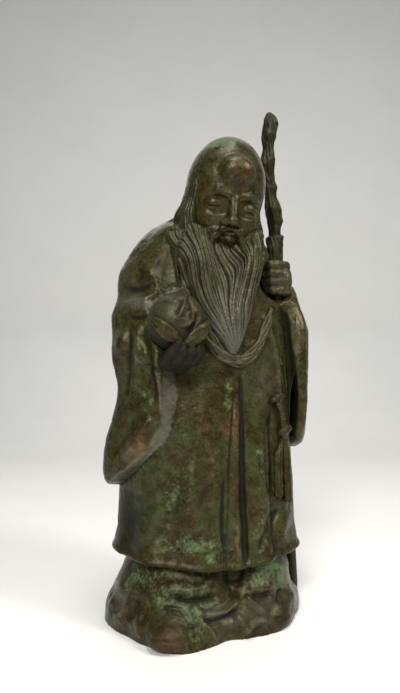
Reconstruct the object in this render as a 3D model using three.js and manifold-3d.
// Cast bronze figure of a bearded sage who carries a peach and a crooked staff.
// Millimetres, +Z up. The figure faces -Y and its right hand is on the -X side.
// Angles round the figure start at its front and grow towards its left hand.
import * as THREE from "three";
import { mergeVertices } from "three/addons/utils/BufferGeometryUtils.js";
import Module from "manifold-3d";

const wasm = await Module();
wasm.setup();

// Castings
const WALL = 3.2;
const CLEARANCE = 0.3;
const CHASING = 0.1;
const PIN_RADIUS = 1.5;
const PIN_SIDES = 8;
const PIN_REACH = 6;

// Robe: heights as lengths from one level to the next, spreads as distances from the axis
const HEM_HEIGHT = 40;
const HEM_FLARE_HEIGHT = 16;
const SKIRT_LENGTH = 84;
const TORSO_LENGTH = 60;
const SHOULDER_RISE = 28;
const COLLAR_RISE = 20;
const HEM_SIDE = 59;
const HEM_FRONT = 47;
const HEM_BACK = 46;
const HEM_SIDE_RISE = 5;
const SKIRT_SIDE = 56;
const SKIRT_FRONT = 44.5;
const SKIRT_BACK = 43;
const WAIST_SIDE = 53;
const WAIST_FRONT = 42;
const WAIST_BACK = 39;
const CHEST_SIDE = 45;
const CHEST_FRONT = 34;
const CHEST_BACK = 36;
const SHOULDER_SIDE = 35;
const SHOULDER_FRONT = 22;
const SHOULDER_BACK = 30;
const COLLAR_RADIUS = 16;
const COLLAR_FORWARD = 10;
const ROBE_SQUARENESS = 2.3;
const WEB_RISE = 6;
const WEB_THICKNESS = 5;
const WEB_HOLE_SHARE = 0.55;
const ROBE_COLUMNS = 44;
const INNER_COLUMNS = 36;
const FRONT_CROWDING = 20;
const ROBE_ROWS = 11;

// Grooves (negative) and ridges of the robe: angle, half spread, height, share of the robe's length
const ROBE_FOLDS = [
  { name: "front seam", angle: 5, spread: 4, height: -3.2, reach: 0.56 },
  { name: "border band", angle: -3, spread: 4.5, height: 1.2, reach: 0.56 },
  { name: "band groove", angle: -12, spread: 4, height: -1.6, reach: 0.45 },
  { name: "right knee ridge", angle: -28, spread: 9, height: 1.6, reach: 0.4 },
  { name: "right knee groove", angle: -46, spread: 7, height: -2.2, reach: 0.4 },
  { name: "right rear groove", angle: -78, spread: 8, height: -2, reach: 0.4 },
  { name: "left panel ridge", angle: 20, spread: 8, height: 1.2, reach: 0.5 },
  { name: "tassel groove", angle: 34, spread: 5, height: -3, reach: 0.55 },
  { name: "left hip ridge", angle: 58, spread: 8, height: 1.5, reach: 0.4 },
  { name: "back right groove", angle: -145, spread: 9, height: -2.2, reach: 0.8 },
  { name: "back middle groove", angle: 180, spread: 8, height: -2.2, reach: 0.8 },
  { name: "back left groove", angle: 145, spread: 9, height: -2.2, reach: 0.8 },
];

// Inner robe and rock
const UNDER_ROBE_INSET = 10.5;
const UNDER_ROBE_WALL = 9;
const UNDER_ROBE_FLARE = 1.5;
const LEG_CLEFT = 6;
const LEG_CLEFT_SPREAD = 9;
const DECK_HEIGHT = 18;
const DECK_THICKNESS = 5;
const ROCK_SIDE_MARGIN = 2;
const ROCK_FRONT_MARGIN = 0;
const ROCK_BACK_MARGIN = 0;
const ROCK_SLOPE = 6;
const ROCK_WALL = 6;
const ROCK_RIM = 2;
const ROCK_SHOULDER = 7;
const ROCK_SHOULDER_ANGLE = -105;
const ROCK_SHOULDER_SPREAD = 48;
const ROCK_COLUMNS = 44;
const ROCK_LOBES = [
  { name: "toe shelf", angle: -38, spread: 15, height: 8 },
  { name: "front cleft", angle: -8, spread: 8, height: -2.5 },
  { name: "left foot shelf", angle: 26, spread: 13, height: 2 },
  { name: "staff shelf", angle: 88, spread: 11, height: 6.5 },
  { name: "left cleft", angle: 58, spread: 8, height: -2 },
  { name: "right cleft", angle: -74, spread: 8, height: -2 },
  { name: "right shelf", angle: -105, spread: 14, height: 3 },
  { name: "back cleft", angle: 168, spread: 10, height: -2.5 },
];
const SCREW_RADIUS = 1.8;
const SCREW_HEAD_RADIUS = 3.2;
const SCREW_HEAD_HEIGHT = 2.2;
const SCREW_ANGLES = [-135, -58, 52, 135];

// Staff
const STAFF_RADIUS = 3.5;
const CROOK_LENGTH = 55;
const STAFF_STANDOFF = 4;
const STAFF_FOOT_BACK = -5;
const STAFF_FOOT_HEIGHT = 6;
const STAFF_LEAN_INWARD = 5.4;
const STAFF_LEAN_FORWARD = 2.7;
const STAFF_CLEARANCE = 0.45;
const STAFF_VALLEY = 4.6;
const STAFF_VALLEY_SPREAD = 8;
const HAND_HOLLOW = 6;
const HAND_HOLLOW_SPREAD = 17;
const HAND_HOLLOW_HEIGHT = 17;
const STUB_RADIUS = 5.4;
const STUB_LENGTH = 17;
const BUD_RADIUS = 4.6;
const BUD_LENGTH = 22;
const STAFF_SIDES = 12;

// Fist on the staff
const FIST_BELOW_SHOULDER = 15;
const FINGER_RADIUS = 3;
const FINGER_PITCH = 5.3;
const FINGER_COUNT = 4;
const FINGER_SIDES = 6;
const FINGER_STRETCH = 3.5;
const WRIST_RADIUS = 6;
const WRIST_TENON = 9;
const RIGHT_TENON_SHARE = 0.65;

// Sleeves
const RIGHT_SLEEVE_DROP = 98;
const RIGHT_SLEEVE_LENGTH = 22;
const RIGHT_SLEEVE_THICKNESS = 11;
const RIGHT_SLEEVE_SWING = 62;
const LEFT_SLEEVE_DROP = 78;
const LEFT_SLEEVE_LENGTH = 20;
const LEFT_SLEEVE_THICKNESS = 9.5;
const LEFT_SLEEVE_SWING = 108;
const SLEEVE_WALL = 3.5;
const LEFT_SLIT_SHARE = 0.4;
const LEFT_SLIT_INWARD = 3;
const SLEEVE_FORWARD = 12;
const SLEEVE_COLUMNS = 20;
const SLEEVE_LEVEL = 14;
const FOREARM_BELOW_SHOULDER = 46;

// Right hand and peach
const PEACH_RADIUS = 16;
const PEACH_HEIGHT = 34;
const PEACH_TILT = 12;
const PEACH_SIDES = 18;
const PALM_RADIUS = 11;
const PALM_THICKNESS = 5;
const PALM_ANGLE = -40.5;
const CUFF_ANGLE = -62.5;
const PALM_BELOW_FOREARM = 26;
const LEAF_WIDTH = 9;
const LEAF_THICKNESS = 2.4;
const LEAF_ROOT_ANGLE = -8;
const LEAF_ROOT_FALL = -52;
const LEAF_SWEEP = 58;
const LEAF_CLIMB = 48;

// Head and beard
const HEAD_HEIGHT = 66;
const HEAD_RADIUS = 23.5;
const HEAD_DEPTH = 25;
const HEAD_FORWARD = 13;
const CHIN_DROP = 24;
const HEAD_NOD = 15;
const HEAD_ROLL = 6;
const HEAD_TURN = -9;
const HEAD_COLUMNS = 30;
const HEAD_ROWS = 18;
const FACE_HEIGHT = 50;
const HAIR_TOP = 6;
const HAIR_FALL = 36;
const HAIR_HALF_WIDTH = 6.5;
const HAIR_SIDES = 9;
const SPIGOT_RADIUS = 9;
const SPIGOT_DEPTH = 15;
const SPIGOT_SIDES = 20;
const BEARD_BELOW_COLLAR = 18;
const BEARD_LENGTH = 69;
const BEARD_HALF_WIDTH = 26;
const BEARD_SHIFT = -8.5;
const BEARD_THICKNESS = 6;
const JAW_HAIR = 2;
const JAW_LINE = 17;
const CHEEK_RISE = 15;
const BEARD_COLUMNS = 18;

// Cord, tassel and shoes
const CORD_RADIUS = 2.8;
const CORD_BELOW_BEARD = 4;
const CORD_SWEEP = 38;
const CORD_RISE = 33;
const TASSEL_ANGLE = 42;
const TASSEL_BELOW_WAIST = 24;
const TASSEL_LENGTH = 40;
const TASSEL_RADIUS = 4.6;
const KNOT_RADIUS = 4;
const KNOT_RISE = 20;
const SHOE_LENGTH = 24;
const SHOE_HALF_WIDTH = 11;
const SHOE_HEIGHT = 15;
const TOE_HEIGHT = 7;
const TOE_OVERHANG = 1;
const RIGHT_SHOE_ANGLE = -35;
const RIGHT_SHOE_TURN = 4;
const LEFT_SHOE_ANGLE = 29;
const LEFT_SHOE_TURN = -10;

const BRONZE = { color: 0x4a3a26, roughness: 0.42, metalness: 0.9 };
const RUBBED_BRONZE = { color: 0x6b4426, roughness: 0.34, metalness: 0.92 };
const DARK_BRONZE = { color: 0x332a1e, roughness: 0.5, metalness: 0.88 };
const PIN_METAL = { color: 0x8a6a3a, roughness: 0.4, metalness: 0.95 };

const radians = THREE.MathUtils.degToRad;
const point = (x, y, z) => new THREE.Vector3(x, y, z);
const smoothstep = (from, to, value) => THREE.MathUtils.smoothstep(value, from, to);
const bell = (offset, spread) => Math.exp(-((offset / spread) ** 2));

// Smallest turn from one angle to another, in degrees.
function turnBetween(angle, from) {
  return ((angle - from + 540) % 360) - 180;
}

// A curve through (position, value) pairs that never overshoots them.
function curveThrough(pairs) {
  const last = pairs.length - 1;
  const slopes = [];
  for (let i = 0; i < last; i += 1) {
    slopes.push((pairs[i + 1][1] - pairs[i][1]) / (pairs[i + 1][0] - pairs[i][0]));
  }
  const tangents = pairs.map((_, i) => {
    if (i === 0) return slopes[0];
    if (i === last) return slopes[last - 1];
    const product = slopes[i - 1] * slopes[i];
    return product <= 0 ? 0 : (2 * product) / (slopes[i - 1] + slopes[i]);
  });
  return (position) => {
    const at = Math.min(Math.max(position, pairs[0][0]), pairs[last][0]);
    let i = 0;
    while (i < last - 1 && at > pairs[i + 1][0]) i += 1;
    const span = pairs[i + 1][0] - pairs[i][0];
    const t = (at - pairs[i][0]) / span;
    const rest = 1 - t;
    return (
      pairs[i][1] * (1 + 2 * t) * rest * rest +
      tangents[i] * span * t * rest * rest +
      pairs[i + 1][1] * t * t * (3 - 2 * t) -
      tangents[i + 1] * span * t * t * rest
    );
  };
}

// A closed body through rings with the same number of points. Open ends are closed by fans; a looped
// body joins its last ring to its first.
function skin(rings, looped = false) {
  const columns = rings[0].length;
  const positions = [];
  const index = [];
  rings.forEach((ring) => ring.forEach((p) => positions.push(p.x, p.y, p.z)));
  const spans = looped ? rings.length : rings.length - 1;
  for (let i = 0; i < spans; i += 1) {
    const next = (i + 1) % rings.length;
    for (let j = 0; j < columns; j += 1) {
      const k = (j + 1) % columns;
      const a = i * columns + j;
      const b = i * columns + k;
      const c = next * columns + k;
      const d = next * columns + j;
      index.push(a, b, c, a, c, d);
    }
  }
  if (!looped) {
    [0, rings.length - 1].forEach((end) => {
      const middle = rings[end].reduce((sum, p) => sum.add(p), point(0, 0, 0)).divideScalar(columns);
      const hub = positions.length / 3;
      positions.push(middle.x, middle.y, middle.z);
      for (let j = 0; j < columns; j += 1) {
        const a = end * columns + j;
        const b = end * columns + ((j + 1) % columns);
        index.push(...(end === 0 ? [hub, b, a] : [hub, a, b]));
      }
    });
  }
  const geometry = new THREE.BufferGeometry();
  geometry.setAttribute("position", new THREE.Float32BufferAttribute(positions, 3));
  geometry.setIndex(index);
  return facingOut(geometry);
}

// Turns the faces round where the body is inside out.
function facingOut(geometry) {
  const p = geometry.getAttribute("position");
  const index = geometry.getIndex();
  const [a, b, c] = [point(0, 0, 0), point(0, 0, 0), point(0, 0, 0)];
  let volume = 0;
  for (let i = 0; i < index.count; i += 3) {
    a.fromBufferAttribute(p, index.getX(i));
    b.fromBufferAttribute(p, index.getX(i + 1));
    c.fromBufferAttribute(p, index.getX(i + 2));
    volume += a.dot(b.cross(c));
  }
  if (volume < 0) {
    for (let i = 0; i < index.count; i += 3) {
      const second = index.getX(i + 1);
      index.setX(i + 1, index.getX(i + 2));
      index.setX(i + 2, second);
    }
  }
  return geometry;
}

function solid(geometry) {
  const bare = geometry.clone();
  bare.deleteAttribute("normal");
  bare.deleteAttribute("uv");
  const merged = mergeVertices(bare, 1e-4);
  return new wasm.Manifold(
    new wasm.Mesh({
      numProp: 3,
      vertProperties: new Float32Array(merged.getAttribute("position").array),
      triVerts: new Uint32Array(merged.getIndex().array),
    }),
  );
}

// Leaves out the crumbs that a cut can part from a body.
function largest(body) {
  const pieces = body.decompose();
  return pieces.reduce((best, piece) => (piece.volume() > best.volume() ? piece : best));
}

function cut(body, ...tools) {
  return largest(tools.reduce((rest, tool) => rest.subtract(tool), body)).simplify(CHASING);
}

// Bores stay as they are cut.
function drill(body, ...tools) {
  return largest(tools.reduce((rest, tool) => rest.subtract(tool), body));
}

function join(...bodies) {
  return bodies.reduce((whole, body) => whole.add(body));
}

function rod(from, to, radius, sides = PIN_SIDES) {
  const along = to.clone().sub(from);
  const geometry = new THREE.CylinderGeometry(radius, radius, along.length(), sides);
  const turn = new THREE.Quaternion().setFromUnitVectors(point(0, 1, 0), along.clone().normalize());
  geometry.applyQuaternion(turn);
  const middle = from.clone().add(to).multiplyScalar(0.5);
  geometry.translate(middle.x, middle.y, middle.z);
  return solid(geometry);
}

function ball(centre, radii, columns = 16, rows = 10) {
  const geometry = new THREE.SphereGeometry(1, columns, rows);
  geometry.scale(radii.x, radii.y, radii.z);
  geometry.translate(centre.x, centre.y, centre.z);
  return solid(geometry);
}

// A rounded bar of one radius that follows a list of points.
function bar(points, radius, sides, steps) {
  const outline = new THREE.Shape();
  for (let i = 0; i < sides; i += 1) {
    const turn = (2 * Math.PI * i) / sides;
    const corner = [radius * Math.cos(turn), radius * Math.sin(turn)];
    if (i === 0) outline.moveTo(...corner);
    else outline.lineTo(...corner);
  }
  outline.closePath();
  const extrudePath = new THREE.CatmullRomCurve3(points);
  return solid(new THREE.ExtrudeGeometry(outline, { steps, extrudePath, bevelEnabled: false }));
}

// Levels
const flareZ = HEM_HEIGHT + HEM_FLARE_HEIGHT;
const waistZ = flareZ + SKIRT_LENGTH;
const chestZ = waistZ + TORSO_LENGTH;
const shoulderZ = chestZ + SHOULDER_RISE;
const collarZ = shoulderZ + COLLAR_RISE;
const webZ = HEM_HEIGHT + WEB_RISE;
const robeLength = collarZ - HEM_HEIGHT;
const fistZ = shoulderZ - FIST_BELOW_SHOULDER;

// Staff axis
const staffFoot = point(HEM_SIDE + STAFF_STANDOFF, STAFF_FOOT_BACK, STAFF_FOOT_HEIGHT);
const staffSlope = point(
  -Math.tan(radians(STAFF_LEAN_INWARD)),
  -Math.tan(radians(STAFF_LEAN_FORWARD)),
  1,
);
const staffAxis = staffSlope.clone().normalize();
const onStaff = (z) => staffFoot.clone().addScaledVector(staffSlope, z - staffFoot.z);

// Robe surface
const robeProfile = {};
for (const [side, values] of Object.entries({
  side: [HEM_SIDE, SKIRT_SIDE, WAIST_SIDE, CHEST_SIDE, SHOULDER_SIDE, COLLAR_RADIUS],
  front: [HEM_FRONT, SKIRT_FRONT, WAIST_FRONT, CHEST_FRONT, SHOULDER_FRONT, COLLAR_RADIUS],
  back: [HEM_BACK, SKIRT_BACK, WAIST_BACK, CHEST_BACK, SHOULDER_BACK, COLLAR_RADIUS],
})) {
  const levels = [HEM_HEIGHT, flareZ, waistZ, chestZ, shoulderZ, collarZ];
  robeProfile[side] = curveThrough(levels.map((z, i) => [z, values[i]]));
}
const leanAt = (z) => -COLLAR_FORWARD * smoothstep(waistZ, collarZ, z);

function ovalRadius(angle, side, front, back, squareness) {
  const turn = radians(angle);
  const across = Math.abs(Math.sin(turn)) / side;
  const along = Math.abs(Math.cos(turn)) / (Math.cos(turn) > 0 ? front : back);
  return (across ** squareness + along ** squareness) ** (-1 / squareness);
}

function robeRadius(angle, z) {
  const oval = ovalRadius(
    angle,
    robeProfile.side(z),
    robeProfile.front(z),
    robeProfile.back(z),
    ROBE_SQUARENESS,
  );
  let folds = 0;
  for (const fold of ROBE_FOLDS) {
    const top = HEM_HEIGHT + fold.reach * robeLength;
    const fade = 1 - smoothstep(top - 0.2 * robeLength, top, z);
    folds += fold.height * fade * bell(turnBetween(angle, fold.angle), fold.spread);
  }
  const staff = onStaff(z);
  const staffAngle = THREE.MathUtils.radToDeg(Math.atan2(staff.x, leanAt(z) - staff.y));
  const valleyFade = 1 - smoothstep(chestZ, shoulderZ, z);
  folds -= STAFF_VALLEY * valleyFade * bell(turnBetween(angle, staffAngle), STAFF_VALLEY_SPREAD);
  const hollow = bell(z - fistZ, HAND_HOLLOW_HEIGHT);
  folds -= HAND_HOLLOW * hollow * bell(turnBetween(angle, staffAngle), HAND_HOLLOW_SPREAD);
  return oval + folds;
}

// The hem hangs lower in front and behind than at the sides.
function hangingZ(angle, z) {
  const share = Math.max(0, 1 - (z - HEM_HEIGHT) / (0.5 * robeLength));
  return z + HEM_SIDE_RISE * Math.sin(radians(angle)) ** 2 * share;
}

function robePoint(angle, z, outwards = 0) {
  const radius = robeRadius(angle, z) + outwards;
  const turn = radians(angle);
  return point(radius * Math.sin(turn), leanAt(z) - radius * Math.cos(turn), hangingZ(angle, z));
}

function ringOf(columns, place) {
  return Array.from({ length: columns }, (_, j) => place((360 * j) / columns));
}

// A ring of the robe: its points stand closer together at the front, where the folds are finest.
function robeRing(place) {
  return ringOf(ROBE_COLUMNS, (a) => place(a - FRONT_CROWDING * Math.sin(radians(a))));
}

const robeLevels = Array.from({ length: ROBE_ROWS + 1 }, (_, i) => {
  const share = i / ROBE_ROWS;
  return HEM_HEIGHT + robeLength * share;
});

// The robe without its hollow, grown outwards, to cut what lies on it.
function robeEnvelope(outwards) {
  const rings = robeLevels.map((z) => robeRing((a) => robePoint(a, z, outwards)));
  if (outwards > 0) rings.push(robeRing((a) => robePoint(a, collarZ, outwards).setZ(collarZ + outwards)));
  return solid(skin(rings));
}

// Hollows of the robe: the main one above the web, the pocket below it, the web's hole, the neck hole.
const SEAM_ANGLE = ROBE_FOLDS[0].angle;
function innerRing(z, share = 1) {
  return ringOf(INNER_COLUMNS, (a) => {
    const angle = a + SEAM_ANGLE;
    const above = Math.min(z + WALL, collarZ);
    const around = [-4, 0, 4].flatMap((step) => [robeRadius(angle + step, z), robeRadius(angle + step, above)]);
    const room = (Math.min(...around) - WALL) * share;
    return point(room * Math.sin(radians(angle)), leanAt(z) - room * Math.cos(radians(angle)), z);
  });
}
const webTop = webZ + WEB_THICKNESS;
const cavityLevels = [0, 0.25, 0.5, 0.75, 1].map((share) => webTop + (shoulderZ - webTop) * share);
const cavity = solid(skin(cavityLevels.map((z) => innerRing(z))));
const pocket = solid(
  skin([
    innerRing(HEM_HEIGHT).map((p) => p.clone().setZ(HEM_HEIGHT - WEB_RISE)),
    innerRing(HEM_HEIGHT),
    innerRing(webZ),
  ]),
);
const webHole = solid(
  skin([innerRing(webZ, WEB_HOLE_SHARE).map((p) => p.setZ(webZ - 1)), innerRing(webTop + 1, WEB_HOLE_SHARE)]),
);
const neckAxis = point(0, leanAt(collarZ), 0);
const neckHole = rod(
  neckAxis.clone().setZ(shoulderZ - WALL),
  neckAxis.clone().setZ(collarZ + WALL),
  SPIGOT_RADIUS + CLEARANCE,
  SPIGOT_SIDES,
);
const robeShell = [cavity, pocket, webHole, neckHole].reduce(
  (rest, hollow) => rest.subtract(hollow),
  robeEnvelope(0),
);

// Inner robe: a thick ring that stands on the rock and carries the web.
const underTop = webZ - CLEARANCE;
const underFoot = DECK_HEIGHT + CLEARANCE;
function underRing(z, inset) {
  const spread = UNDER_ROBE_FLARE * (1 - smoothstep(underFoot, HEM_HEIGHT, z));
  return ringOf(INNER_COLUMNS, (even) => {
    const a = even - FRONT_CROWDING * Math.sin(radians(even));
    const oval = ovalRadius(a, HEM_SIDE, HEM_FRONT, HEM_BACK, ROBE_SQUARENESS) - UNDER_ROBE_INSET;
    const cleft = LEG_CLEFT * (bell(turnBetween(a, 0), LEG_CLEFT_SPREAD) + 0.5 * bell(turnBetween(a, 180), LEG_CLEFT_SPREAD));
    const radius = oval - cleft - inset + spread;
    return point(radius * Math.sin(radians(a)), -radius * Math.cos(radians(a)), z);
  });
}
const underShell = solid(
  skin(
    [
      underRing(underFoot, 0),
      underRing((underFoot + underTop) / 2, 0),
      underRing(underTop, 0),
      underRing(underTop, UNDER_ROBE_WALL),
      underRing(underFoot, UNDER_ROBE_WALL),
    ],
    true,
  ),
);

// Rock: lobed shell, open underneath.
function rockRadius(angle) {
  let radius = ovalRadius(
    angle,
    HEM_SIDE + ROCK_SIDE_MARGIN,
    HEM_FRONT + ROCK_FRONT_MARGIN,
    HEM_BACK + ROCK_BACK_MARGIN,
    ROBE_SQUARENESS,
  );
  for (const lobe of ROCK_LOBES) {
    radius += lobe.height * bell(turnBetween(angle, lobe.angle), lobe.spread);
  }
  return radius;
}
function rockRing(z, inset) {
  return ringOf(ROCK_COLUMNS, (a) => {
    const radius = rockRadius(a) - inset;
    return point(radius * Math.sin(radians(a)), -radius * Math.cos(radians(a)), z);
  });
}
// The rim stands round the foot of the inner robe and rises to a shoulder on the right.
function rimZ(angle) {
  const shoulder = bell(turnBetween(angle, ROCK_SHOULDER_ANGLE), ROCK_SHOULDER_SPREAD);
  return DECK_HEIGHT + ROCK_RIM + ROCK_SHOULDER * shoulder;
}
function seatRadius(angle) {
  const oval = ovalRadius(angle, HEM_SIDE, HEM_FRONT, HEM_BACK, ROBE_SQUARENESS);
  return oval - UNDER_ROBE_INSET + UNDER_ROBE_FLARE + 2 * CLEARANCE;
}
// Between the rim (share 0) and the foot of the rock (share 1).
function slopeRing(share, rise, outwards = 0) {
  return ringOf(ROCK_COLUMNS, (a) => {
    const inner = Math.min(seatRadius(a) + 1, rockRadius(a) - 2);
    const radius = inner + (rockRadius(a) - inner) * share + outwards;
    return point(radius * Math.sin(radians(a)), -radius * Math.cos(radians(a)), rimZ(a) * rise + outwards);
  });
}
function seatRing(z, share = 1) {
  return ringOf(ROCK_COLUMNS, (a) => {
    const radius = Math.min(seatRadius(a), rockRadius(a) - 3) * share;
    return point(radius * Math.sin(radians(a)), -radius * Math.cos(radians(a)), z);
  });
}
const deckUnder = DECK_HEIGHT - DECK_THICKNESS;
const rockShell = solid(
  skin([
    seatRing(deckUnder, 0.5),
    rockRing(deckUnder, ROCK_SLOPE + ROCK_WALL),
    rockRing(0, ROCK_WALL),
    rockRing(0, 0.8),
    rockRing(2.5, 0),
    slopeRing(0.9, 0.42),
    slopeRing(0.58, 0.74),
    slopeRing(0.24, 0.94),
    slopeRing(0, 1),
    seatRing(DECK_HEIGHT),
    seatRing(DECK_HEIGHT, 0.5),
  ]),
);

// Staff: straight where it slides, knotted above the fist.
const fist = onStaff(fistZ);
const fistHeight = (FINGER_COUNT - 1) * FINGER_PITCH + 2 * FINGER_RADIUS;
const fistReach = (fistZ - staffFoot.z) / staffAxis.z;
const stubStart = fistReach + fistHeight / 2 + CLEARANCE;
const stubEnd = stubStart + STUB_LENGTH;
const budStart = stubEnd + CROOK_LENGTH;
const staffLength = budStart + BUD_LENGTH;
const staffThickness = curveThrough([
  [0, STAFF_RADIUS * 0.9],
  [6, STAFF_RADIUS],
  [stubStart - 0.1, STAFF_RADIUS],
  [stubStart, STUB_RADIUS * 0.92],
  [stubEnd - 1.5, STUB_RADIUS],
  [stubEnd, STAFF_RADIUS * 1.05],
  [stubEnd + 0.3 * CROOK_LENGTH, STAFF_RADIUS * 1.4],
  [stubEnd + 0.48 * CROOK_LENGTH, STAFF_RADIUS * 0.95],
  [stubEnd + 0.7 * CROOK_LENGTH, STAFF_RADIUS],
  [stubEnd + 0.85 * CROOK_LENGTH, STAFF_RADIUS * 1.3],
  [budStart, STAFF_RADIUS],
  [budStart + 0.4 * BUD_LENGTH, BUD_RADIUS],
  [budStart + 0.75 * BUD_LENGTH, BUD_RADIUS * 0.85],
  [staffLength, BUD_RADIUS * 0.35],
]);
const staffAcross = point(1, 0, 0).addScaledVector(staffAxis, -staffAxis.x).normalize();
const staffBehind = staffAxis.clone().cross(staffAcross);
function staffRing(along, outwards = 0) {
  const bend = smoothstep(stubStart, stubEnd + 0.2 * CROOK_LENGTH, along);
  return ringOf(STAFF_SIDES, (a) => {
    const turn = radians(a);
    const gnarl = 1 + 0.1 * bend * Math.sin(3 * turn + 0.13 * along);
    const radius = staffThickness(along) * gnarl + outwards;
    const sway = 1.6 * bend * Math.sin(0.085 * (along - stubStart));
    return staffFoot
      .clone()
      .addScaledVector(staffAxis, along)
      .addScaledVector(staffAcross, radius * Math.cos(turn) + sway)
      .addScaledVector(staffBehind, radius * Math.sin(turn));
  });
}
const staffStops = [
  0,
  6,
  stubStart - 0.1,
  stubStart,
  stubEnd - 1.5,
  stubEnd,
  ...[0.15, 0.3, 0.4, 0.48, 0.7, 0.85, 1].map((share) => stubEnd + share * CROOK_LENGTH),
  ...[0.2, 0.4, 0.75, 0.92, 1].map((share) => budStart + share * BUD_LENGTH),
];
const staff = solid(skin(staffStops.map((along) => staffRing(along))));
const staffPath = rod(
  staffFoot.clone().addScaledVector(staffAxis, -CLEARANCE),
  staffFoot.clone().addScaledVector(staffAxis, staffLength),
  STAFF_RADIUS + STAFF_CLEARANCE,
  STAFF_SIDES,
);

// Sleeves: level slices, each an oval set along the forearm. A station says how far the middle of its
// slice lies inside the robe's side (in sleeve thicknesses) and how far forward.
function sleeveStations(side, length, thickness, drop, shapes) {
  return shapes.map(({ drop: below, rise, collar, inset, forward, long, thick }) => {
    let z = forearmZ;
    if (below !== undefined) z = forearmZ - drop * below;
    if (rise !== undefined) z = forearmZ + FOREARM_BELOW_SHOULDER * rise;
    if (collar !== undefined) z = shoulderZ + COLLAR_RISE * collar;
    const x = side * (robeProfile.side(z) - inset * thickness);
    return { z, x, y: -forward * SLEEVE_FORWARD, long: long * length, thick: thick * thickness };
  });
}
function curvesOf(stations) {
  return ["x", "y", "long", "thick"].map((key) => curveThrough(stations.map((s) => [s.z, s[key]])));
}
function sleeve(stations, swing, outwards, { inset = 0, shift = 0, slim = 1, aside = 0 } = {}) {
  const along = point(Math.cos(radians(swing)), -Math.sin(radians(swing)), 0);
  const across = point(along.y, -along.x, 0);
  const [xAt, yAt, longAt, thickAt] = curvesOf(stations);
  const levels = [];
  stations.forEach((s, i) => {
    const tall = i > 0 && s.z - stations[i - 1].z > SLEEVE_LEVEL;
    if (tall) levels.push((s.z + stations[i - 1].z) / 2);
    levels.push(s.z);
  });
  return solid(
    skin(
      levels.map((z) =>
        ringOf(SLEEVE_COLUMNS, (a) => {
          const turn = radians(a);
          const c = Math.cos(turn);
          const s = Math.sin(turn);
          const long = longAt(z) - inset + outwards;
          const thick = (thickAt(z) - inset) * slim + outwards;
          return point(xAt(z), yAt(z), z)
            .addScaledVector(along, Math.sign(c) * Math.abs(c) ** 0.85 * long + shift)
            .addScaledVector(across, Math.sign(s) * Math.abs(s) ** 0.85 * thick + aside);
        })),
    ),
  );
}

const forearmZ = shoulderZ - FOREARM_BELOW_SHOULDER;
const RIGHT_SLEEVE_SHAPES = [
  { drop: 1, inset: -0.28, forward: -0.1, long: 0.18, thick: 0.4 },
  { drop: 0.96, inset: -0.2, forward: 0.08, long: 0.45, thick: 0.65 },
  { drop: 0.86, inset: 0.1, forward: 0.6, long: 0.85, thick: 0.85 },
  { drop: 0.71, inset: 0.42, forward: 1, long: 1.05, thick: 0.9 },
  { drop: 0.41, inset: 0.76, forward: 1.38, long: 0.98, thick: 1 },
  { drop: 0.17, inset: 0.4, forward: 1.17, long: 1, thick: 1.1 },
  { drop: 0, inset: 0.2, forward: 0.98, long: 0.98, thick: 1.15 },
  { rise: 0.3, inset: 0.36, forward: 0.62, long: 0.93, thick: 1.2 },
  { rise: 0.61, inset: 0.47, forward: 0.25, long: 0.87, thick: 1.2 },
  { rise: 0.91, inset: 0.58, forward: 0.14, long: 0.82, thick: 1.15 },
  { collar: 0.4, inset: 0.38, forward: 0.12, long: 0.68, thick: 0.85 },
  { collar: 0.7, inset: 0.05, forward: 0.08, long: 0.34, thick: 0.3 },
];
const LEFT_SLEEVE_SHAPES = [
  { drop: 1, inset: -0.65, forward: 0.42, long: 0.3, thick: 0.4 },
  { drop: 0.95, inset: -0.65, forward: 0.5, long: 0.7, thick: 0.75 },
  { drop: 0.8, inset: -0.52, forward: 0.67, long: 0.95, thick: 0.9 },
  { drop: 0.44, inset: -0.72, forward: 0.75, long: 1, thick: 0.95 },
  { drop: 0.05, inset: -0.95, forward: 0.75, long: 1, thick: 1.1 },
  { rise: 0.26, inset: -0.8, forward: 0.5, long: 1, thick: 1.15 },
  { rise: 0.52, inset: -0.5, forward: 0.1, long: 0.92, thick: 1.2 },
  { rise: 0.78, inset: -0.08, forward: -0.32, long: 0.84, thick: 1.2 },
  { collar: 0.05, inset: 0.2, forward: -0.5, long: 0.7, thick: 1 },
  { collar: 0.3, inset: 0.35, forward: -0.5, long: 0.36, thick: 0.4 },
];
const rightBottom = forearmZ - RIGHT_SLEEVE_DROP;
const leftBottom = forearmZ - LEFT_SLEEVE_DROP;
const rightStations = sleeveStations(
  -1,
  RIGHT_SLEEVE_LENGTH,
  RIGHT_SLEEVE_THICKNESS,
  RIGHT_SLEEVE_DROP,
  RIGHT_SLEEVE_SHAPES,
);
const leftStations = sleeveStations(
  1,
  LEFT_SLEEVE_LENGTH,
  LEFT_SLEEVE_THICKNESS,
  LEFT_SLEEVE_DROP,
  LEFT_SLEEVE_SHAPES,
);

const robeCutter = robeEnvelope(CLEARANCE);
const rightMouth = sleeve(
  rightStations.filter((s) => s.z > rightBottom + 0.1 * RIGHT_SLEEVE_DROP && s.z < forearmZ - 1),
  RIGHT_SLEEVE_SWING,
  0,
  { inset: SLEEVE_WALL, shift: 2.2 * SLEEVE_WALL },
);
const leftMouth = sleeve(
  leftStations.filter((s) => s.z > leftBottom + 0.1 * LEFT_SLEEVE_DROP && s.z < forearmZ - 1),
  LEFT_SLEEVE_SWING,
  0,
  { inset: SLEEVE_WALL, shift: 2.2 * SLEEVE_WALL, slim: LEFT_SLIT_SHARE, aside: LEFT_SLIT_INWARD },
);

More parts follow.
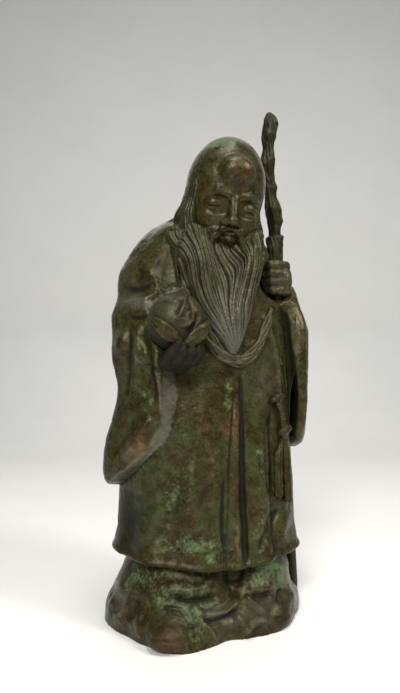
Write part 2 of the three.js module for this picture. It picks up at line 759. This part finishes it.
// Fist: four fingers round the staff, thumb, palm and wrist tenon.
const wristZ = forearmZ + FOREARM_BELOW_SHOULDER * 0.33;
const [leftXAt, leftYAt] = curvesOf(leftStations);
const leftWrist = point(leftXAt(wristZ) - 0.15 * LEFT_SLEEVE_THICKNESS, leftYAt(wristZ), wristZ);
const gripRadius = STAFF_RADIUS + STAFF_CLEARANCE + FINGER_RADIUS * 0.85;
const fingers = Array.from({ length: FINGER_COUNT }, (_, i) => {
  const z = fistZ + (i - (FINGER_COUNT - 1) / 2) * FINGER_PITCH;
  const middle = onStaff(z);
  const arc = [80, 40, 0, -40, -75, -115].map((a) => {
    const reach = gripRadius + FINGER_STRETCH * Math.max(0, Math.sin(radians(-a)));
    return point(middle.x + reach * Math.sin(radians(a)), middle.y - reach * Math.cos(radians(a)), z);
  });
  return bar(arc, FINGER_RADIUS, FINGER_SIDES, 5);
});
const palm = ball(
  point(fist.x + 5.5, fist.y + 4.5, fistZ - 1),
  point(FINGER_RADIUS * 2.4, FINGER_RADIUS * 2.5, fistHeight * 0.52),
  12,
  6,
);
const thumb = bar(
  [
    point(fist.x + 5, fist.y + 6, fistZ + fistHeight * 0.3),
    point(fist.x - 1.5, fist.y + 8, fistZ + fistHeight * 0.33),
    point(fist.x - 6.5, fist.y + 3, fistZ + fistHeight * 0.28),
  ],
  FINGER_RADIUS * 0.95,
  FINGER_SIDES,
  5,
);
const leftArm = leftWrist.clone().sub(point(fist.x + 6, fist.y + 5, fistZ - 3)).normalize();
const leftTenonEnd = leftWrist.clone().addScaledVector(leftArm, WRIST_TENON);
const leftPalmPoint = point(fist.x + 6, fist.y + 5, fistZ - 3);
const leftTenon = rod(leftPalmPoint, leftTenonEnd, WRIST_RADIUS);
const leftSocket = rod(
  leftPalmPoint,
  leftTenonEnd.clone().addScaledVector(leftArm, CLEARANCE),
  WRIST_RADIUS + CLEARANCE,
);
const leftSleeveCutter = sleeve(leftStations, LEFT_SLEEVE_SWING, CLEARANCE);
const fistBody = cut(
  join(cut(join(palm, thumb, ...fingers), leftSleeveCutter), leftTenon),
  staffPath,
  robeCutter,
);

// Peach on the right palm.
const rightAlong = point(
  Math.cos(radians(RIGHT_SLEEVE_SWING)),
  -Math.sin(radians(RIGHT_SLEEVE_SWING)),
  0,
);
const palmZ = forearmZ - PALM_BELOW_FOREARM;
const palmPlace = robePoint(PALM_ANGLE, palmZ, PALM_RADIUS + 0.5);
const peachCentre = palmPlace.clone().add(point(0, 0, PALM_THICKNESS + PEACH_HEIGHT / 2));
function peachShape(outwards) {
  const profile = curveThrough([
    [0, 0.25],
    [0.08, 0.62],
    [0.25, 0.92],
    [0.45, 1],
    [0.65, 0.9],
    [0.82, 0.58],
    [0.94, 0.2],
    [1, 0.05],
  ]);
  const rings = [0, 0.04, 0.12, 0.25, 0.38, 0.5, 0.62, 0.74, 0.84, 0.92, 1].map((share) =>
    ringOf(PEACH_SIDES, (a) => {
      const cleft = 1 - 0.1 * bell(turnBetween(a, 20), 12) * Math.sin(Math.PI * share);
      const radius = PEACH_RADIUS * profile(share) * cleft + outwards;
      const tall = PEACH_HEIGHT * (share - 0.5) + (share < 0.5 ? -outwards : outwards);
      return point(radius * Math.sin(radians(a)), -radius * Math.cos(radians(a)), tall);
    }));
  const geometry = skin(rings);
  geometry.rotateY(radians(PEACH_TILT));
  geometry.translate(peachCentre.x, peachCentre.y, peachCentre.z);
  return solid(geometry);
}
const peachCutter = peachShape(CLEARANCE);
const rightTenonRadius = WRIST_RADIUS * RIGHT_TENON_SHARE;
const cuffMiddle = robePoint(CUFF_ANGLE, palmZ + 3, rightTenonRadius + 1.2);
const rightArm = cuffMiddle.clone().sub(palmPlace).normalize();
const rightTenonEnd = cuffMiddle;
const rightWrist = cuffMiddle.clone().addScaledVector(rightArm, -WRIST_TENON);
const rightTenon = rod(palmPlace, rightTenonEnd, rightTenonRadius);
const rightSocket = rod(
  palmPlace,
  rightTenonEnd.clone().addScaledVector(rightArm, CLEARANCE),
  rightTenonRadius + CLEARANCE,
);
const rightSleeveCutter = sleeve(rightStations, RIGHT_SLEEVE_SWING, CLEARANCE);
const rightAcross = point(-rightAlong.y, rightAlong.x, 0);
const cradle = Array.from({ length: FINGER_COUNT }, (_, i) => {
  const spread = (i - (FINGER_COUNT - 1) / 2) * FINGER_PITCH * 0.85;
  const root = palmPlace.clone().addScaledVector(rightAcross, spread);
  const reach = PALM_RADIUS + 4 - Math.abs(spread) * 0.4;
  return bar(
    [
      root.clone().addScaledVector(rightAlong, 2),
      root.clone().addScaledVector(rightAlong, reach * 0.7),
      root.clone().addScaledVector(rightAlong, reach).add(point(0, 0, 4)),
      root.clone().addScaledVector(rightAlong, reach * 1.02).add(point(0, 0, 9)),
    ],
    FINGER_RADIUS * 0.9,
    FINGER_SIDES,
    5,
  );
});
const rightPalm = ball(palmPlace, point(PALM_RADIUS, PALM_RADIUS, PALM_THICKNESS), 14, 6);
const pegFrom = point(palmPlace.x, palmPlace.y, palmPlace.z - PALM_THICKNESS * 0.6);
const pegTo = point(palmPlace.x, palmPlace.y, peachCentre.z - PEACH_HEIGHT * 0.15);
const pegBore = rod(
  pegFrom.clone().add(point(0, 0, -CLEARANCE)),
  pegTo.clone().add(point(0, 0, CLEARANCE)),
  PIN_RADIUS + CLEARANCE,
);

// Leaves: cupped blades against the lower front of the peach.
function leaf(side, outwards = 0) {
  const onPeach = (share, lift) => {
    const azimuth = radians(LEAF_ROOT_ANGLE + side * (6 + LEAF_SWEEP * share));
    const height = radians(LEAF_ROOT_FALL + LEAF_CLIMB * share);
    const reach = PEACH_RADIUS + lift;
    return peachCentre.clone().add(
      point(
        reach * Math.cos(height) * Math.sin(azimuth),
        -reach * Math.cos(height) * Math.cos(azimuth),
        (PEACH_HEIGHT / 2 + lift) * Math.sin(height),
      ),
    );
  };
  const stops = [0, 0.12, 0.3, 0.5, 0.7, 0.88, 1];
  const rings = stops.map((share) => {
    const middle = onPeach(share, LEAF_THICKNESS * 0.5);
    const along = onPeach(share + 0.02, 0).sub(onPeach(share - 0.02, 0)).normalize();
    const outward = middle.clone().sub(peachCentre).normalize();
    const across = along.clone().cross(outward).normalize();
    const half = 0.5 * LEAF_WIDTH * Math.sin(Math.PI * (0.08 + 0.84 * share)) + outwards;
    const thick = LEAF_THICKNESS * (0.6 + 0.4 * Math.sin(Math.PI * share)) + outwards;
    return ringOf(10, (a) => {
      const u = Math.cos(radians(a));
      const v = Math.sin(radians(a));
      return middle.clone().addScaledVector(across, half * u).addScaledVector(outward, thick * v);
    });
  });
  return solid(skin(rings));
}

// Head in its own frame: origin on the neck axis, chin below it, crown above.
const headPivot = point(0, leanAt(collarZ) - HEAD_FORWARD, collarZ);
const headFrame = new THREE.Matrix4().compose(
  headPivot,
  new THREE.Quaternion().setFromEuler(
    new THREE.Euler(radians(HEAD_NOD), radians(HEAD_ROLL), radians(HEAD_TURN), "ZYX"),
  ),
  point(1, 1, 1),
);
const headOutline = curveThrough([
  [0, 0.3],
  [0.05, 0.55],
  [0.16, 0.86],
  [0.3, 1.02],
  [0.45, 1.03],
  [0.65, 1],
  [0.8, 0.9],
  [0.9, 0.7],
  [0.97, 0.4],
  [1, 0.12],
]);
// Relief of the face: share of the face height, angle, spreads, height.
const FACE_RELIEF = [
  { name: "nose", at: 0.4, angle: 0, tall: 0.075, wide: 8, height: 5 },
  { name: "nose bridge", at: 0.52, angle: 0, tall: 0.08, wide: 6, height: 2.2 },
  { name: "right brow", at: 0.6, angle: -24, tall: 0.04, wide: 16, height: 2.2 },
  { name: "left brow", at: 0.6, angle: 24, tall: 0.04, wide: 16, height: 2.2 },
  { name: "right eye hollow", at: 0.5, angle: -23, tall: 0.045, wide: 11, height: -2.2 },
  { name: "left eye hollow", at: 0.5, angle: 23, tall: 0.045, wide: 11, height: -2.2 },
  { name: "right cheek", at: 0.36, angle: -36, tall: 0.08, wide: 15, height: 2 },
  { name: "left cheek", at: 0.36, angle: 36, tall: 0.08, wide: 15, height: 2 },
  { name: "mouth", at: 0.22, angle: 0, tall: 0.022, wide: 12, height: -1.4 },
  { name: "chin", at: 0.08, angle: 0, tall: 0.06, wide: 18, height: 2 },
  { name: "forehead", at: 1.05, angle: 0, tall: 0.2, wide: 32, height: 3 },
  { name: "right ear", at: 0.47, angle: -92, tall: 0.12, wide: 8, height: 2 },
  { name: "left ear", at: 0.47, angle: 92, tall: 0.12, wide: 8, height: 2 },
  { name: "right side hair", at: 0.3, angle: -105, tall: 0.2, wide: 26, height: 3 },
  { name: "left side hair", at: 0.3, angle: 105, tall: 0.2, wide: 26, height: 3 },
  { name: "nape hair", at: 0.2, angle: 180, tall: 0.25, wide: 50, height: 3 },
];
function headShape(outwards) {
  const rings = Array.from({ length: HEAD_ROWS + 1 }, (_, i) => {
    const share = i / HEAD_ROWS;
    const tall = HEAD_HEIGHT * share;
    const swell = outwards * (share < 0.5 ? -1 : 1) * (i === 0 || i === HEAD_ROWS ? 1 : 0);
    return ringOf(HEAD_COLUMNS, (even) => {
      const a = even - FRONT_CROWDING * Math.sin(radians(even));
      let radius = ovalRadius(a, HEAD_RADIUS, HEAD_DEPTH, HEAD_DEPTH, 2) * headOutline(share);
      for (const form of FACE_RELIEF) {
        const level = bell(tall / FACE_HEIGHT - form.at, form.tall);
        radius += form.height * level * bell(turnBetween(a, form.angle), form.wide);
      }
      radius += outwards;
      return point(
        radius * Math.sin(radians(a)),
        -radius * Math.cos(radians(a)),
        tall - CHIN_DROP + swell,
      );
    });
  });
  const geometry = skin(rings);
  geometry.applyMatrix4(headFrame);
  return solid(geometry);
}
// Hair that falls from behind each ear to the front of the shoulder.
function hairLock(side, outwards = 0) {
  const spread = curveThrough([[0, 0.35], [0.2, 0.8], [0.6, 1], [1, 0.7]]);
  const rings = [0, 0.2, 0.45, 0.7, 1].map((share) => {
    const half = HAIR_HALF_WIDTH * spread(share) + outwards;
    const x = side * (HEAD_RADIUS - 4 + 4 * share);
    const y = (0.2 - 0.42 * share) * HEAD_DEPTH;
    return ringOf(HAIR_SIDES, (a) => point(
      x + half * Math.sin(radians(a)),
      y - 1.35 * half * Math.cos(radians(a)),
      HAIR_TOP - HAIR_FALL * share + outwards * (1 - 2 * share),
    ));
  });
  const geometry = skin(rings);
  geometry.applyMatrix4(headFrame);
  return solid(geometry);
}
const headCutter = join(headShape(CLEARANCE), hairLock(1, CLEARANCE), hairLock(-1, CLEARANCE));
const spigot = rod(
  neckAxis.clone().setZ(collarZ - SPIGOT_DEPTH),
  neckAxis.clone().setZ(collarZ + 6),
  SPIGOT_RADIUS,
  SPIGOT_SIDES,
);
const headMiddle = point(0, 0, HEAD_HEIGHT * 0.52 - CHIN_DROP).applyMatrix4(headFrame);
const headCore = join(
  ball(
    headMiddle,
    point(HEAD_RADIUS - 2 * WALL, HEAD_DEPTH - 2 * WALL, HEAD_HEIGHT * 0.4 - WALL),
    10,
    6,
  ),
  rod(neckAxis.clone().setZ(collarZ - SPIGOT_DEPTH - 1), headMiddle, SPIGOT_RADIUS - WALL, 8),
);
const neckPinFrom = robePoint(180, collarZ - 7, -0.6);
const neckPinTo = point(0, neckAxis.y - 4, collarZ - 7);

// Beard: hair that wraps the jaw up to the cheeks, and a tapered blade from the chin to the chest.
const jawBlock = skin(
  Array.from({ length: 11 }, (_, i) => {
    const x = (i / 5 - 1) * 1.06 * HEAD_RADIUS;
    const top = CHEEK_RISE * (x / HEAD_RADIUS) ** 2 - JAW_LINE;
    const front = -1.4 * HEAD_DEPTH;
    const back = -0.1 * HEAD_DEPTH;
    const foot = -CHIN_DROP - 2 * JAW_HAIR;
    return [point(x, front, foot), point(x, back, foot), point(x, back, top), point(x, front, top)];
  }),
);
jawBlock.applyMatrix4(headFrame);
const jawHair = headShape(JAW_HAIR).intersect(solid(jawBlock));
const beardTop = collarZ - BEARD_BELOW_COLLAR;
const beardMiddle = curveThrough([[0, 0.55], [0.25, 1], [0.5, 0.92], [1, 0.35]]);
const beardWidth = curveThrough([[0, 0.88], [0.2, 1.02], [0.45, 0.82], [0.7, 0.52], [0.88, 0.27], [1, 0.08]]);
const beardDepth = curveThrough([[0, 0.35], [0.14, 1], [0.5, 1.1], [0.9, 0.8], [1, 0.3]]);
function beardRing(share) {
  const z = beardTop - BEARD_LENGTH * share;
  const half = BEARD_HALF_WIDTH * beardWidth(share);
  const thick = BEARD_THICKNESS * beardDepth(share);
  const sway = BEARD_SHIFT * beardMiddle(share);
  return ringOf(BEARD_COLUMNS, (a) => {
    const u = Math.sin(radians(a));
    const v = Math.cos(radians(a));
    const x = half * u + sway;
    const angle = THREE.MathUtils.radToDeg(Math.atan2(x, WAIST_FRONT));
    const chest = robePoint(angle, Math.min(z, chestZ)).y - 1;
    const behind = robePoint(angle, z).y + 0.5 * BEARD_THICKNESS;
    const strands = 0.5 * Math.cos(5 * u * Math.PI);
    const y = v > 0 ? chest - thick * v ** 0.8 - strands : chest - (behind - chest) * v;
    return point(x, y, z + CHEEK_RISE * 0.6 * u * u * (1 - share) ** 3);
  });
}
const beardShape = join(
  jawHair,
  solid(skin([0, 0.06, 0.14, 0.28, 0.44, 0.6, 0.74, 0.86, 0.94, 1].map((share) => beardRing(share)))),
);
const beardPinZ = chestZ - 4;

// Cord round the neckline.
const cordLow = beardTop - BEARD_LENGTH - CORD_BELOW_BEARD;
const cordPoints = Array.from({ length: 15 }, (_, i) => {
  const share = i / 7 - 1;
  return robePoint(CORD_SWEEP * share, cordLow + CORD_RISE * share * share, CORD_RADIUS * 0.4);
});
const cordBody = bar(cordPoints, CORD_RADIUS, 7, 18);
const cordCutter = bar(cordPoints, CORD_RADIUS + CLEARANCE, 7, 18);

// Tassel: knots on the cord end, fringe below.
const knotZ = waistZ - TASSEL_BELOW_WAIST;
const knotLow = robePoint(TASSEL_ANGLE, knotZ, KNOT_RADIUS * 0.6);
const knotHigh = robePoint(TASSEL_ANGLE - 6, knotZ + KNOT_RISE, KNOT_RADIUS * 0.6);
const knotShape = join(
  ball(knotLow, point(KNOT_RADIUS, KNOT_RADIUS, KNOT_RADIUS * 1.1), 10, 6),
  ball(knotHigh, point(KNOT_RADIUS, KNOT_RADIUS, KNOT_RADIUS), 10, 6),
  rod(knotLow, knotHigh, KNOT_RADIUS * 0.6, 8),
);
const tasselTop = knotZ - KNOT_RADIUS * 1.1 - CLEARANCE;
const tasselShape = solid(
  skin(
    [0, 0.08, 0.25, 0.5, 0.75, 0.94, 1].map((share) => {
      const z = tasselTop - TASSEL_LENGTH * share;
      const middle = robePoint(TASSEL_ANGLE + 1.5 * share, z, TASSEL_RADIUS * 0.55);
      const swell = curveThrough([[0, 0.45], [0.08, 0.7], [0.5, 0.85], [0.94, 1], [1, 0.8]])(share);
      return ringOf(16, (a) => {
        const grooves = 1 + 0.08 * Math.cos(radians(8 * a));
        const radius = TASSEL_RADIUS * swell * grooves;
        return point(middle.x + radius * Math.sin(radians(a)), middle.y - radius * Math.cos(radians(a)), z);
      });
    }),
  ),
);
const tasselPinFrom = robePoint(TASSEL_ANGLE, knotZ, -PIN_REACH);
const tasselPinTo = knotLow;

// Shoes: rounded toes on the rock.
function shoe(toe, heading) {
  const rings = [0, 0.06, 0.18, 0.35, 0.6, 1].map((share) => {
    const full = Math.sqrt(Math.min(1, 1 - (1 - Math.min(share / 0.4, 1)) ** 2) + 0.01);
    return ringOf(16, (a) => {
      const u = Math.sin(radians(a));
      const v = Math.cos(radians(a));
      const height = SHOE_HEIGHT * full * (0.62 + 0.38 * share);
      return point(SHOE_HALF_WIDTH * full * u, SHOE_LENGTH * share, height * (v > 0 ? v : 0.25 * v));
    });
  });
  const geometry = skin(rings);
  geometry.rotateZ(radians(heading));
  geometry.translate(toe.x, toe.y, toe.z);
  return solid(geometry);
}
const rockCutter = solid(
  skin([
    rockRing(-5, -CLEARANCE),
    rockRing(2.5, -CLEARANCE),
    slopeRing(0.95, 0.45, CLEARANCE),
    slopeRing(0.72, 0.75, CLEARANCE),
    slopeRing(0.35, 0.95, CLEARANCE),
    slopeRing(0, 1, CLEARANCE),
  ]),
);
const underCutter = solid(
  skin([
    underRing(underFoot - 2, -CLEARANCE),
    underRing((underFoot + underTop) / 2, -CLEARANCE),
    underRing(underTop, -CLEARANCE),
  ]),
);
function toeAt(angle) {
  const reach = rockRadius(angle) + TOE_OVERHANG;
  return point(reach * Math.sin(radians(angle)), -reach * Math.cos(radians(angle)), TOE_HEIGHT);
}
const rightToe = toeAt(RIGHT_SHOE_ANGLE);
const leftToe = toeAt(LEFT_SHOE_ANGLE);

// Pins and screws
function pinThrough(angle, z, inwards, outwards) {
  return [robePoint(angle, z, -inwards), robePoint(angle, z, outwards)];
}
function bored(ends) {
  const [from, to] = ends;
  const along = to.clone().sub(from).normalize().multiplyScalar(CLEARANCE);
  return rod(from.clone().sub(along), to.clone().add(along), PIN_RADIUS + CLEARANCE);
}
const pinLevel = (share) => forearmZ + FOREARM_BELOW_SHOULDER * share;
const pinEnds = {
  neck_pin: [neckPinFrom, neckPinTo],
  beard_pin: pinThrough(3, beardPinZ, PIN_REACH, BEARD_THICKNESS * 0.5),
  right_sleeve_pin_upper: pinThrough(-88, pinLevel(0.57), PIN_REACH, 0.7 * PIN_REACH),
  right_sleeve_pin_lower: pinThrough(-84, pinLevel(-0.09), PIN_REACH, PIN_REACH),
  left_sleeve_pin_upper: pinThrough(104, pinLevel(0.74), PIN_REACH, PIN_REACH),
  left_sleeve_pin_lower: pinThrough(100, pinLevel(0.44), PIN_REACH, PIN_REACH),
  tassel_pin: [tasselPinFrom, tasselPinTo],
};
const bores = Object.fromEntries(Object.entries(pinEnds).map(([name, ends]) => [name, bored(ends)]));

// Wrist pins come in from the side away from the robe.
function wristPin(middle, axis, radius) {
  const sideways = point(axis.y, -axis.x, 0).normalize();
  if (sideways.dot(point(middle.x, middle.y, 0)) < 0) sideways.negate();
  return [
    middle.clone().addScaledVector(sideways, -radius * 0.4),
    middle.clone().addScaledVector(sideways, radius + 2),
  ];
}
const rightTenonMiddle = rightTenonEnd.clone().lerp(rightWrist, 0.4);
const leftTenonMiddle = leftTenonEnd.clone().lerp(leftWrist, 0.4);
pinEnds.right_wrist_pin = wristPin(rightTenonMiddle, rightArm, rightTenonRadius);
pinEnds.left_wrist_pin = wristPin(leftTenonMiddle, leftArm, WRIST_RADIUS);
bores.right_wrist_pin = bored(pinEnds.right_wrist_pin);
bores.left_wrist_pin = bored(pinEnds.left_wrist_pin);

const screws = SCREW_ANGLES.map((angle) => {
  const oval = ovalRadius(angle, HEM_SIDE, HEM_FRONT, HEM_BACK, ROBE_SQUARENESS);
  const radius = oval - UNDER_ROBE_INSET - UNDER_ROBE_WALL / 2;
  const x = radius * Math.sin(radians(angle));
  const y = -radius * Math.cos(radians(angle));
  const seat = deckUnder - CLEARANCE;
  const top = webZ + WEB_THICKNESS * 0.8;
  return {
    body: join(
      rod(point(x, y, seat - SCREW_HEAD_HEIGHT / 2), point(x, y, top), SCREW_RADIUS),
      rod(point(x, y, seat - SCREW_HEAD_HEIGHT), point(x, y, seat), SCREW_HEAD_RADIUS),
    ),
    bore: rod(point(x, y, seat), point(x, y, top + CLEARANCE), SCREW_RADIUS + CLEARANCE),
    recess: rod(
      point(x, y, seat - SCREW_HEAD_HEIGHT - 20),
      point(x, y, seat + CLEARANCE),
      SCREW_HEAD_RADIUS + CLEARANCE,
    ),
  };
});
const screwBores = screws.map((screw) => screw.bore);

const robePins = [
  "neck_pin",
  "beard_pin",
  "right_sleeve_pin_upper",
  "right_sleeve_pin_lower",
  "left_sleeve_pin_upper",
  "left_sleeve_pin_lower",
  "tassel_pin",
];
const rightSleevePins = ["right_sleeve_pin_upper", "right_sleeve_pin_lower", "right_wrist_pin"];
const leftSleevePins = ["left_sleeve_pin_upper", "left_sleeve_pin_lower", "left_wrist_pin"];
const boresOf = (names) => names.map((name) => bores[name]);

const rightSleeveBody = cut(
  sleeve(rightStations, RIGHT_SLEEVE_SWING, 0),
  robeCutter,
  rightMouth,
  rightSocket,
);
const leftSleeveBody = cut(
  sleeve(leftStations, LEFT_SLEEVE_SWING, 0),
  robeCutter,
  leftMouth,
  leftSocket,
  staffPath,
);
const rightHandBody = cut(
  join(cut(join(rightPalm, ...cradle), rightSleeveCutter, robeCutter), rightTenon),
  peachCutter,
  leaf(1, CLEARANCE),
  leaf(-1, CLEARANCE),
);
const hairedHead = join(headShape(0), hairLock(1), hairLock(-1));
const headBody = cut(
  join(cut(hairedHead, robeCutter, rightSleeveCutter, leftSleeveCutter), spigot),
  headCore,
);

const bodies = {
  robe_body: [
    drill(cut(robeShell, staffPath, rightSocket), ...screwBores, ...boresOf(robePins)),
    BRONZE,
  ],
  under_robe: [drill(underShell, ...screwBores), DARK_BRONZE],
  rock_base: [
    drill(cut(rockShell, staffPath), ...screwBores, ...screws.map((screw) => screw.recess)),
    DARK_BRONZE,
  ],
  right_sleeve: [drill(rightSleeveBody, ...boresOf(rightSleevePins)), BRONZE],
  left_sleeve: [drill(leftSleeveBody, ...boresOf(leftSleevePins)), BRONZE],
  head: [drill(headBody, bores.neck_pin), BRONZE],
  beard: [drill(cut(beardShape, robeCutter, headCutter, cordCutter), bores.beard_pin), BRONZE],
  collar_cord: [
    cut(cordBody, robeCutter, peachCutter, rightSleeveCutter, leftSleeveCutter),
    BRONZE,
  ],
  right_hand: [drill(rightHandBody, pegBore, bores.right_wrist_pin), RUBBED_BRONZE],
  left_hand: [drill(fistBody, bores.left_wrist_pin), RUBBED_BRONZE],
  peach: [drill(cut(peachShape(0), rightSleeveCutter, robeCutter), pegBore), RUBBED_BRONZE],
  peach_leaf_left: [cut(leaf(1), peachCutter, robeCutter), RUBBED_BRONZE],
  peach_leaf_right: [cut(leaf(-1), peachCutter, leaf(1, CLEARANCE)), RUBBED_BRONZE],
  staff: [staff, RUBBED_BRONZE],
  tassel_knot: [drill(cut(knotShape, robeCutter), bores.tassel_pin), BRONZE],
  tassel: [cut(tasselShape, robeCutter), BRONZE],
  right_shoe: [cut(shoe(rightToe, RIGHT_SHOE_TURN), rockCutter, underCutter), RUBBED_BRONZE],
  left_shoe: [cut(shoe(leftToe, LEFT_SHOE_TURN), rockCutter, underCutter), DARK_BRONZE],
  peach_peg: [rod(pegFrom, pegTo, PIN_RADIUS), PIN_METAL],
};
for (const [name, ends] of Object.entries(pinEnds)) {
  bodies[name] = [rod(...ends, PIN_RADIUS), PIN_METAL];
}
screws.forEach((screw, i) => {
  bodies[`clamp_screw_${i + 1}`] = [screw.body, PIN_METAL];
});

const figure = new THREE.Group();
figure.name = "bronze_statue";
for (const [name, [body, finish]] of Object.entries(bodies)) {
  const mesh = body.getMesh();
  const geometry = new THREE.BufferGeometry();
  geometry.setAttribute("position", new THREE.Float32BufferAttribute(mesh.vertProperties, 3));
  geometry.setIndex(Array.from(mesh.triVerts));
  const node = new THREE.Mesh(geometry, new THREE.MeshStandardMaterial(finish));
  node.name = name;
  figure.add(node);
}

// The origin is the middle of the footprint of the whole figure, on the ground.
const extent = new THREE.Box3().setFromObject(figure);
const middle = extent.getCenter(point(0, 0, 0));
figure.position.set(-middle.x, -middle.y, -extent.min.z);

export default figure;
